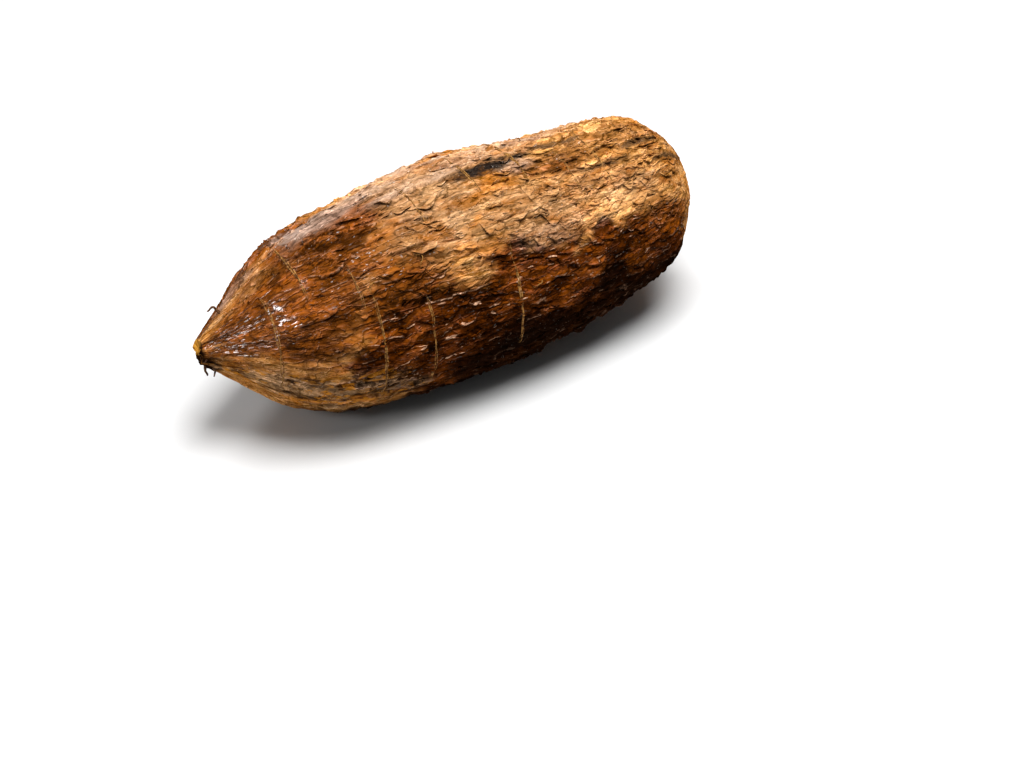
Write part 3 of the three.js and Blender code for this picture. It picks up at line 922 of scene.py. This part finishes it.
# Flakes with a place of their own: along, turn, length, width, slope, curl
chosenFlakes = [(-111.5, 0.52, 5, 1.8, 0.5, 0.4), (-112, 0.6, 4.5, 1.8, 0.6, 0.5),
                (-111.5, 0.69, 4, 1.6, 0.6, 0.5), (-110, 0.44, 5, 1.5, 0.4, 0.3),
                (-110.5, 0.33, 5, 1.5, 0.4, 0.3), (12.3, 0.297, 10.5, 3.0, 0.4, 1.7),
                (70.5, 0.402, 15, 3.6, 0.35, 0.5), (78, 0.42, 10, 3.4, 0.45, 0.3),
                (61, 0.318, 12, 3.0, 0.3, 1.2), (84, 0.345, 12, 3.2, 0.35, 1.4),
                (48, 0.3, 9, 2.6, 0.4, 1.8), (-46, 0.372, 12, 3.6, 0.3, 0.4),
                (-37, 0.384, 11, 3.4, 0.32, 0.5), (-28, 0.39, 11, 3.2, 0.3, 0.4),
                (-19, 0.396, 10, 3.4, 0.34, 0.6), (-10, 0.4, 11, 3.6, 0.3, 0.4),
                (-1, 0.405, 10, 3.6, 0.36, 0.5), (8, 0.411, 11, 3.8, 0.34, 0.4),
                (17, 0.416, 10, 3.4, 0.32, 0.6), (26, 0.41, 10, 3.4, 0.34, 0.5),
                (36, 0.402, 11, 3.2, 0.3, 0.5), (46, 0.396, 10, 3.0, 0.34, 0.7),
                (-30, 0.36, 12, 4.0, 0.3, 0.9), (30, 0.345, 12, 4.4, 0.22, 0.5),
                (5, 0.35, 13, 4.0, 0.2, 0.4), (90, 0.3, 9, 2.4, 0.4, 1.6), (-22, 0.34, 9, 2.6, 0.5, 1.8),
                (22, 0.372, 8, 2.4, 0.5, 1.6), (55, 0.36, 9, 2.6, 0.4, 1.4)]

# Where flakes thin out and where they crowd, as ovals: along, turn, half length, half turn
flakePlaces = {
    "calm": [(4, 0.3, 30, 0.045), (-92, 0.42, 30, 0.2), (-62, 0.34, 26, 0.08), (-60, 0.6, 50, 0.07),
             (-66, 0.182, 14, 0.05), (0, 0.75, 70, 0.07)],
    "busy": [(0, 0.165, 90, 0.04), (60, 0.38, 45, 0.13), (-10, 0.46, 40, 0.06), (20, 0.3, 40, 0.08),
             (60, 0.9, 50, 0.14)],
    "leastClearance": 2.5,
    "fullSizeRadius": 34,
    "downwardShare": 0.8,
}


def pickPlaces(form, chance):
    # flakes thin out on the smooth parts and crowd on the rough ones
    tries = form["count"] * 8
    along = chance.uniform(tailEnd + 4, headEnd - 2, tries)
    turn = chance.uniform(0, 1, tries)
    if "band" in form:
        turn = chance.normal(form["band"][0], form["band"][1], tries)
        return along[:form["count"]], turn[:form["count"]]
    calm = np.clip(sum(spot(along, turn, place) for place in flakePlaces["calm"]), 0, 1)
    busy = np.clip(sum(spot(along, turn, place) for place in flakePlaces["busy"]), 0, 1)
    _, level = middleAt(along)
    clearance = level - rootForm["flatDepth"] + radiusAt(along) * np.sin(turnFull * turn)
    likely = (0.35 + 0.65 * busy) * (1 - (1 - form["calm"]) * calm) * radiusAt(along) / rootForm["widest"]
    zones = zonesAt(along, turn)
    if form.get("bark") == "dry":
        likely = likely * (1 - np.maximum(zones["amber"], zones["darkbarkandshade"])) * (0.3 + 0.7 * zones["paintedlight"])
    if form.get("bark") == "glazed":
        likely = np.maximum(zones["darkbarkandshade"], 0.4 * zones["amber"]) * (1 - 0.5 * zones["soil"])
    likely = np.where(clearance < flakePlaces["leastClearance"], 0, likely)
    kept = np.flatnonzero(chance.uniform(0, 1, tries) < likely)[:form["count"]]
    return along[kept], turn[kept]


def buildFlakes(name, form):
    chance = np.random.default_rng(form["seed"])
    centre, place = pickPlaces(form, chance)
    chosen = np.array(chosenFlakes if name == "barkPlates" else np.empty((0, 6)))
    centre, place = np.append(centre, chosen[:, 0]), np.append(place, chosen[:, 1])
    count = len(centre)
    rows, columns = form.get("cells", (3, 8))
    bm = bmesh.new()
    for _ in range(count):
        bmesh.ops.create_grid(bm, x_segments=columns - 1, y_segments=rows - 1, size=1)
    flakes = addPiece(name, bm, barkPaper)
    local = readPoints(flakes.data).reshape(count, rows, columns, 3)
    u, v = local[..., 0], (local[..., 1] + 1) / 2

    def pick(key, column):
        random = chance.uniform(*form[key], count - len(chosen))
        return np.append(random, chosen[:, column])[:, None, None]

    def wave(least):
        # a slow wave along each leaf that dips to the least given
        phase = u[:, :1] * chance.uniform(1, 6, (count, 1, 1)) + chance.uniform(0, 6.3, (count, 1, 1))
        return least + (1 - least) * (0.5 + 0.5 * np.cos(phase))

    length, width = pick("length", 2), pick("width", 3)
    slope, curl = pick("slope", 4), pick("curl", 5) * wave(0.4)
    # most free edges hang downwards, away from the top of the root
    downwards = np.where(np.cos(turnFull * place) > 0, -1, 1)
    agree = chance.uniform(0, 1, count) < flakePlaces["downwardShare"]
    heading = np.where(agree, downwards, -downwards)[:, None, None]
    taper = (1 - np.abs(u) ** 2.2) ** 0.6 * wave(0.55)
    swing = chance.normal(0, form["swing"], (count, 1, 1))
    swing[count - len(chosen):] *= 0.3
    bow = chance.normal(0, form["bow"], (count, 1, 1))
    small = np.minimum(1, radiusAt(centre) / flakePlaces["fullSizeRadius"])[:, None, None]
    small[count - len(chosen):] = 1
    width = width * small

    angle = slope + curl * v ** 1.6
    stepLength = (width * taper / (rows - 1))[:, 1:]
    outwards = np.concatenate([np.zeros_like(u[:, :1]), np.cumsum(np.sin(angle[:, 1:]) * stepLength, 1)], 1)
    across = np.concatenate([np.zeros_like(u[:, :1]), np.cumsum(np.cos(angle[:, 1:]) * stepLength, 1)], 1)
    across = across - width / 2 + bow * (u * u - 0.4)
    lengthwise = u * length / 2 * small
    along = centre[:, None, None] + lengthwise * np.cos(swing) - across * np.sin(swing)
    across = lengthwise * np.sin(swing) + across * np.cos(swing)
    along = np.clip(along, tailEnd + 1, headEnd - 1)
    around = turnFull * np.maximum(radiusAt(along), 6)
    waver = 0.35 * width * wander(along / 3.5, place[:, None, None], 60, 77)
    turn = (place[:, None, None] + heading * (across + waver) / around) % 1
    root = heightAt(along[:, :1], turn[:, :1])
    root = 0.5 * root + 0.5 * root.mean(2, keepdims=True)
    height = np.maximum(root + outwards - 0.2, heightAt(along, turn) + 0.12 * v - 0.1)
    height[:, 0] = np.minimum(height[:, 0], heightAt(along[:, 0], turn[:, 0]) - 0.12)
    writePoints(flakes.data, skinPoint(along, turn, height).reshape(-1, 3))

    tone = np.broadcast_to(chance.uniform(0.25, 0.85, (count, 1, 1)), u.shape)
    # rim: a painted highlight along the free edge
    rim = v ** 2 * np.broadcast_to(chance.uniform(0.2, form["rim"], (count, 1, 1)), u.shape)
    masks = {key: values.ravel() for key, values in zonesAt(along, turn).items()}
    blank = np.zeros(u.size)
    masks.update(grain=grainOf(along, turn).reshape(-1, 3), tone=tone.ravel(), rim=rim.ravel(),
                 crack=blank, peel=blank, worn=blank, flesh=blank)
    storeMasks(flakes.data, masks)
    flakes.data.polygons.foreach_set("use_smooth", np.ones(len(flakes.data.polygons), bool))
    wall = flakes.modifiers.new("thickness", "SOLIDIFY")
    wall.thickness = form["thick"] * mm
    wall.offset = 0
    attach(flakes, "root")
    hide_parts("cassava_root")
    print(name, count)
    # a place just past each free edge, where shade is painted on the body
    past = (turn[:, -1] + heading[:, 0] * underFlakeShadeForm["reach"] / around[:, -1]) % 1
    lifted = np.clip(outwards[:, -1] / 0.7, 0.25, 1)
    return along[:, -1, 1:-1].ravel(), past[:, 1:-1].ravel(), lifted[:, 1:-1].ravel()


freeEdges = [buildFlakes(flakeName, flakeForm) for flakeName, flakeForm in flakeForms.items()]
# painted shade on the body just past each flake's free edge, kept in its crack mask
paintShadeUnderFlakes(rootBody, freeEdges)
print("dirt gathered under the flakes")


def sweep(bm, path, radii, sides):
    # a ring of edges extruded from point to point and closed at both ends
    path = [Vector(point) for point in path]
    ring = None
    for i, point in enumerate(path):
        ahead = (path[min(i + 1, len(path) - 1)] - path[max(i - 1, 0)]).normalized()
        turned = ahead.to_track_quat("Z", "Y")
        if ring is None:
            made = bmesh.ops.create_circle(bm, cap_ends=True, radius=1, segments=sides)
            ring = made["verts"]
            edges = list({edge for vert in ring for edge in vert.link_edges})
        else:
            made = bmesh.ops.extrude_edge_only(bm, edges=edges)
            ring = [item for item in made["geom"] if isinstance(item, bmesh.types.BMVert)]
            edges = [item for item in made["geom"] if isinstance(item, bmesh.types.BMEdge)]
        for side, vert in enumerate(ring):
            turn = turnFull * side / sides
            vert.co = point + turned @ Vector((math.cos(turn), math.sin(turn), 0)) * radii[i]
    bmesh.ops.edgeloop_fill(bm, edges=edges)


def strandPoints(number, place, turn, side):
    # one of the two strands of a thread, lying on the bark and winding about the other
    along = place + threadForm["sway"] * wander((turn % 1) * 9 + number, turn * 0, 5, 90)
    along = along + 0.2 * wander(turn * 60, turn * 0, 5, 91)
    wound = turn * threadForm["twist"] + 2 * number
    along = along + side * threadForm["apart"] * np.cos(wound)
    height = heightAt(along, turn % 1)
    height = 0.5 * height + 0.25 * (np.roll(height, 1) + np.roll(height, -1))
    return skinPoint(along, turn % 1, height + 0.1 + 0.15 * side * np.sin(wound))


def buildThreads():
    bm = bmesh.new()
    for number, (place, first, last) in enumerate(threadForm["places"]):
        steps = int((last - first) * turnFull * 40 / threadForm["step"])  # at a radius of about 40 mm
        turn = np.linspace(first, last, steps)
        thin = np.minimum(1, 3 * np.minimum(turn - first, last - turn) / (last - first) + 0.25)
        for side in (-1, 1):
            broken = 0.7 + 0.45 * wander(turn * 70 + 3 * number + side, turn * 0, 5, 92)
            radii = threadForm["radius"] * mm * thin * broken
            sweep(bm, strandPoints(number, place, turn, side), radii, threadForm["sides"])
    bmesh.ops.recalc_face_normals(bm, faces=bm.faces)
    return addPiece("barkThreads", bm, threadBark)


fibreLooks = {
    "threadBark": {"dark": "4a2b0d", "pale": "946a35"},
    "rootletSkin": {"dark": "2e1a10", "pale": "6a4a30"},
}


def fibreMaterial(name, look):
    material = bpy.data.materials.new(name)
    material.use_nodes = True
    tree = material.node_tree
    shader = tree.nodes["Principled BSDF"]
    place = addNode(tree, "ShaderNodeTexCoord").outputs["Object"]
    noise = addNode(tree, "ShaderNodeTexNoise", {"Vector": place, "Scale": 900.0, "Detail": 3.0})
    tone = span(tree, noise.outputs[0], 0.35, 0.65)
    colour = blendColour(tree, tone, paint(look["dark"]), paint(look["pale"]))
    tree.links.new(colour, shader.inputs["Base Color"])
    bump = addNode(tree, "ShaderNodeBump", {"Strength": 0.6, "Distance": 0.0003, "Height": noise.outputs[0]})
    tree.links.new(bump.outputs["Normal"], shader.inputs["Normal"])
    shader.inputs["Roughness"].default_value = 0.6
    shader.inputs["Specular IOR Level"].default_value = 0.08
    return material


threadBark = fibreMaterial("threadBark", fibreLooks["threadBark"])
rootletSkin = fibreMaterial("rootletSkin", fibreLooks["rootletSkin"])
threads = buildThreads()
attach(threads, "root")
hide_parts("cassava_root")
print("threads laid")

# Hair-thin roots at the tail: where each starts, its steps out from the skin, and its thickness at the foot
rootletForm = {
    "sides": 7,
    "hairs": [
        {"along": -103.2, "turn": 0.2, "radius": 0.6,
         "path": [(0.6, -1.5, 0), (0, 0.2, 0), (-0.9, 1.7, 0), (-1.7, 2.9, 0.2), (-2.5, 3.3, 0.3),
                  (-3.4, 3.0, 0.5), (-4.3, 2.4, 0.6), (-4.9, 2.5, 0.8)]},
        {"along": -112.8, "turn": 0.69, "radius": 0.65,
         "path": [(0.3, -1.5, 0), (0, 0, 0), (-0.3, 1.2, 0), (-0.3, 2.4, 0.3), (0.1, 3.5, 0.2),
                  (0.1, 4.2, 0.4)]},
        {"along": -110.6, "turn": 0.645, "radius": 0.55,
         "path": [(0.3, -1.5, 0), (0, 0, 0), (0.2, 1.0, 0), (-0.3, 2.0, 0.2), (-0.9, 3.0, 0.3)]},
        {"along": -113.4, "turn": 0.52, "radius": 0.35,
         "path": [(0.6, -0.8, 0), (0, 0.2, 0), (-0.9, 0.7, 0.2), (-1.5, 0.6, 0.5)]},
    ],
}


def hairPoints(hair):
    angle = turnFull * hair["turn"]
    outwards = np.array([0, math.cos(angle), math.sin(angle)])
    sideways = np.array([0, -math.sin(angle), math.cos(angle)])
    foot = skinPoint(np.array(hair["along"]), np.array(hair["turn"]), 0.0)
    steps = np.array(hair["path"]) * mm
    points = foot + steps[:, :1] * np.array([1, 0, 0]) + steps[:, 1:2] * outwards + steps[:, 2:] * sideways
    return smoothCurve(points, 3)


def buildRootlets():
    bm = bmesh.new()
    for hair in rootletForm["hairs"]:
        points = hairPoints(hair)
        radii = hair["radius"] * mm * np.linspace(1.15, 0.45, len(points))
        sweep(bm, points, radii, rootletForm["sides"])
    bmesh.ops.recalc_face_normals(bm, faces=bm.faces)
    return addPiece("tailRootlets", bm, rootletSkin)


# Loose fibres that hang from the bark: along, turn, then steps along, outwards and round
fibreForm = {
    "radius": 0.2,
    "sides": 5,
    "hairs": [
        (-34, 0.36, [(-1, -0.3, -1), (0, 0.5, 0), (1.2, 1.0, 1.0), (0.6, 1.2, 2.6), (-0.8, 0.9, 3.8),
                     (-1.0, 0.4, 5.6)]),
        (-55, 0.375, [(1, -0.3, 0), (0, 0.6, 0), (-1.6, 0.9, 0.5), (-2.4, 0.8, 2.0), (-2.0, 0.5, 3.6)]),
        (9, 0.3, [(0, -0.3, 0), (0.4, 0.8, 0.4), (1.6, 1.5, 0.2), (2.4, 1.2, -1.2), (1.8, 0.8, -2.2)]),
        (14, 0.46, [(0, -0.3, 0), (-0.6, 0.6, 0.8), (-2.2, 0.9, 1.0), (-3.6, 0.6, 1.8), (-4.6, 0.4, 1.4)]),
        (66, 0.36, [(0, -0.3, 0), (0.8, 0.7, 0.4), (2.4, 1.0, 1.4), (3.0, 0.7, 2.8)]),
        (84, 0.27, [(0, -0.3, 0), (-0.4, 1.0, 0), (-1.4, 1.9, 0.6), (-2.8, 2.0, 0.4)]),
        (-86, 0.24, [(0, -0.3, 0), (-0.5, 0.9, 0.2), (-1.6, 1.4, 0.2), (-2.6, 1.2, 0.8)]),
        (-4, 0.22, [(0, -0.3, 0), (0.8, 0.9, -0.3), (2.2, 1.5, 0.2), (3.4, 1.3, 0.9)]),
        (40, 0.2, [(0, -0.3, 0), (-0.6, 1.0, 0.2), (-1.8, 1.6, 0.0), (-3.2, 1.4, 0.7)]),
        (30, 0.9, [(0, -0.3, 0), (0.9, 0.9, 0.6), (2.4, 1.2, 1.4), (3.8, 0.9, 1.2)]),
        (-40, 0.02, [(0, -0.3, 0), (-0.8, 0.9, 0.5), (-2.3, 1.2, 0.8), (-3.4, 0.8, 2.0)]),
    ],
}


def buildFibres():
    bm = bmesh.new()
    for along, turn, path in fibreForm["hairs"]:
        steps = smoothCurve(path, 5)
        around = turn + steps[:, 2] / (turnFull * radiusAt(along))
        height = heightAt(along + steps[:, 0], around % 1) + steps[:, 1]
        points = skinPoint(along + steps[:, 0], around % 1, height)
        sweep(bm, points, fibreForm["radius"] * mm * np.linspace(1.2, 0.5, len(points)), fibreForm["sides"])
    bmesh.ops.recalc_face_normals(bm, faces=bm.faces)
    return addPiece("looseFibres", bm, threadBark)


fibres = buildFibres()
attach(fibres, "root")
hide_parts("cassava_root")
rootlets = buildRootlets()
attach(rootlets, "root")
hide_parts("cassava_root")
print("rootlets grown")

# The studio, in metres and watts. The glint box shows only as glints on the waxed tail.
studioForm = {
    "floorHalf": 3,
    "floorGrey": 0.55,
    "floorRoughness": 0.8,
    "airLight": 0.13,
    "lights": {
        "topBox": {"place": (0.08, -0.16, 1.04), "aim": (0, 0, 0.04), "size": (0.8, 0.6), "power": 24},
        "backBox": {"place": (-0.1, 0.6, 0.9), "aim": (0, 0, 0.04), "size": (0.35, 0.35), "power": 3.5},
        "leftBox": {"place": (-0.85, -0.27, 0.6), "aim": (-0.05, 0, 0.04), "size": (0.18, 0.18), "power": 2.0},
        "glintBox": {"place": (-0.94, -0.3, 0.42), "aim": (-0.08, 0, 0.04), "size": (0.16, 0.5), "power": 8,
                     "glintsOnly": True},
    },
}


def softLight(name, form):
    data = bpy.data.lights.new(name, "AREA")
    data.shape = "RECTANGLE"
    data.size, data.size_y = form["size"]
    data.energy = form["power"]
    light = bpy.data.objects.new(name, data)
    light.location = form["place"]
    light.rotation_euler = (Vector(form["aim"]) - Vector(form["place"])).to_track_quat("-Z", "Y").to_euler()
    light.visible_diffuse = not form.get("glintsOnly", False)
    bpy.context.scene.collection.objects.link(light)


floorMesh = bmesh.new()
bmesh.ops.create_grid(floorMesh, x_segments=2, y_segments=2, size=studioForm["floorHalf"])
floorPaint = bpy.data.materials.new("floorPaint")
floorPaint.use_nodes = True
floorShader = floorPaint.node_tree.nodes["Principled BSDF"]
floorShader.inputs["Base Color"].default_value = (*[studioForm["floorGrey"]] * 3, 1)
floorShader.inputs["Roughness"].default_value = studioForm["floorRoughness"]
floor = addPiece("studioFloor", floorMesh, floorPaint)

for lightName, lightForm in studioForm["lights"].items():
    softLight(lightName, lightForm)
world = bpy.data.worlds.new("studioAir")
world.use_nodes = True
world.node_tree.nodes["Background"].inputs["Color"].default_value = (1, 1, 1, 1)
world.node_tree.nodes["Background"].inputs["Strength"].default_value = studioForm["airLight"]
bpy.context.scene.world = world
bpy.context.scene.view_settings.view_transform = "Standard"

# Degrees from the root's side and above the floor; metres; millimetres of lens
cameraForm = {"turned": -32.5, "raised": 35.5, "distance": 0.9792, "target": (0.00765, -0.03034, -0.0009),
              "lens": 85}
turned, raised = math.radians(cameraForm["turned"]), math.radians(cameraForm["raised"])
away = Vector((math.sin(turned) * math.cos(raised), -math.cos(turned) * math.cos(raised), math.sin(raised)))
cameraData = bpy.data.cameras.new("studioCamera")
cameraData.lens = cameraForm["lens"]
camera = bpy.data.objects.new("studioCamera", cameraData)
camera.location = Vector(cameraForm["target"]) + away * cameraForm["distance"]
camera.rotation_euler = (-away).to_track_quat("-Z", "Y").to_euler()
bpy.context.scene.collection.objects.link(camera)
bpy.context.scene.camera = camera
print("studio set")
